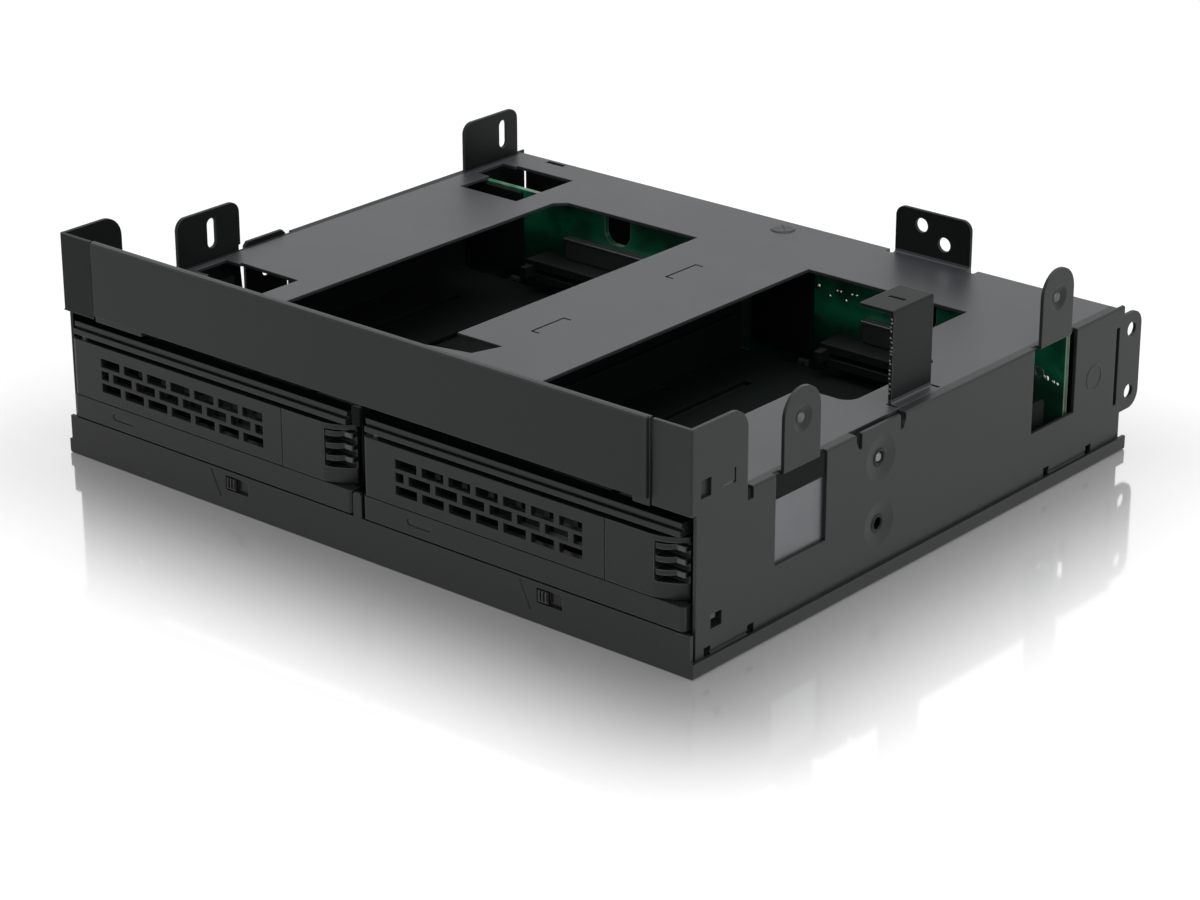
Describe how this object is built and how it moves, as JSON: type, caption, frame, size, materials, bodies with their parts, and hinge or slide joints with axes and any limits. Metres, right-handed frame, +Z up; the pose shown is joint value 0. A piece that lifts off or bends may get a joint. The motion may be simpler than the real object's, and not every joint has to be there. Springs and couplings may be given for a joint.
{
  "type": "hot swap drive cage",
  "caption": "Black sheet-metal cage that stands flat and holds hard drives on pull-out trays, each with a grilled lever, a sprung latch and a lock slider.",
  "frame": {"origin": "middle of the underside of the base pan", "axes": "+X to the right across the two bays, +Y from the front face to the rear, +Z up"},
  "size_m": [0.222, 0.1983, 0.0676],
  "materials": {
    "chassis": "satin",
    "base": "satin",
    "cover": "satin",
    "bezel": "satin",
    "lever": "satin",
    "latch": "satin",
    "lock": "gloss",
    "pan": "satin",
    "guide": "brushed",
    "divider": "satin",
    "board": "satin",
    "connector": "matte",
    "power": "matte",
    "lamp": "gloss",
    "light": "gloss",
    "screw": "satin",
    "spring": "bright"
  },
  "bodies": {
    "cage": {"chassis_roof": "chassis", "chassis_header": "chassis", "chassis_left_wall": "chassis", "chassis_right_wall": "chassis", "chassis_hook": "chassis", "chassis_rear_tab": "chassis", "base_pan": "base", "front_cover_plate": "cover", "centre_divider": "divider", "centre_ledges": "guide", "left_outer_guide": "guide", "right_outer_guide": "guide", "backplane_board": "board", "board_brackets": "guide", "centre_bracket": "divider", "left_drive_connector": "connector", "right_drive_connector": "connector", "left_data_socket": "connector", "right_data_socket": "connector", "left_power_socket": "power", "right_power_socket": "power", "status_lamps": "lamp", "rear_panel": "base"},
    "left_tray": {"left_tray_bezel": "bezel", "left_tray_pan": "pan", "left_light_guide": "light", "left_lever_pin": "screw", "left_lever_spring": "spring", "left_latch_spring": "spring"},
    "left_lever": {"left_lever": "lever"},
    "left_latch": {"left_latch": "latch"},
    "left_lock": {"left_lock_slider": "lock"},
    "right_tray": {"right_tray_bezel": "bezel", "right_tray_pan": "pan", "right_light_guide": "light", "right_lever_pin": "screw", "right_lever_spring": "spring", "right_latch_spring": "spring"},
    "right_lever": {"right_lever": "lever"},
    "right_latch": {"right_latch": "latch"},
    "right_lock": {"right_lock_slider": "lock"}
  },
  "joints": [
    {"name": "left_tray_slide", "type": "slide", "parent": "cage", "child": "left_tray", "axis": [0, -1, 0], "range_m": [0, 0.15]},
    {"name": "left_lever_hinge", "type": "hinge", "parent": "left_tray", "child": "left_lever", "pos_m": [-0.1048, -0.0924, 0.027], "axis": [0, 0, -1], "range_deg": [0, 75]},
    {"name": "left_latch_slide", "type": "slide", "parent": "left_tray", "child": "left_latch", "axis": [1, 0, 0], "range_m": [0, 0.0016], "stiffness_N_per_m": 200, "springref_m": -0.002},
    {"name": "left_lock_slide", "type": "slide", "parent": "cage", "child": "left_lock", "axis": [1, 0, 0], "range_m": [0, 0.0036]},
    {"name": "right_tray_slide", "type": "slide", "parent": "cage", "child": "right_tray", "axis": [0, -1, 0], "range_m": [0, 0.15]},
    {"name": "right_lever_hinge", "type": "hinge", "parent": "right_tray", "child": "right_lever", "pos_m": [0.0052, -0.0924, 0.027], "axis": [0, 0, -1], "range_deg": [0, 75]},
    {"name": "right_latch_slide", "type": "slide", "parent": "right_tray", "child": "right_latch", "axis": [1, 0, 0], "range_m": [0, 0.0016], "stiffness_N_per_m": 200, "springref_m": -0.002},
    {"name": "right_lock_slide", "type": "slide", "parent": "cage", "child": "right_lock", "axis": [1, 0, 0], "range_m": [0, 0.0036]}
  ]
}
